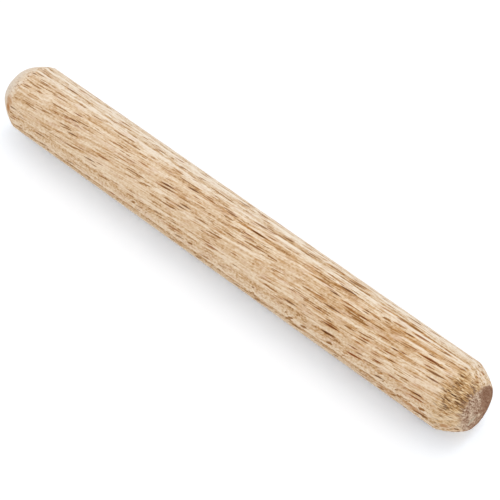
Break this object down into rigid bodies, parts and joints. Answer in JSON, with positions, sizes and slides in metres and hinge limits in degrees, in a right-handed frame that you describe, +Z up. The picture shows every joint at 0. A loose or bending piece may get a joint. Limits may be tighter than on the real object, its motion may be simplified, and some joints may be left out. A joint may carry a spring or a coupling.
{
  "type": "dowel pin",
  "caption": "Plain round wooden dowel pin with curved tapered ends, glued into matching holes to join two boards.",
  "frame": {"origin": "on the pin's axis, midway between the two saw cuts", "axes": "+X along the pin's axis towards the near end, +Y sideways, +Z up as the pin lies"},
  "size_m": [0.0806, 0.01, 0.01],
  "materials": {
    "beech": "bare planed wood"
  },
  "bodies": {
    "root": {"dowel_pin": "beech"}
  },
  "joints": []
}
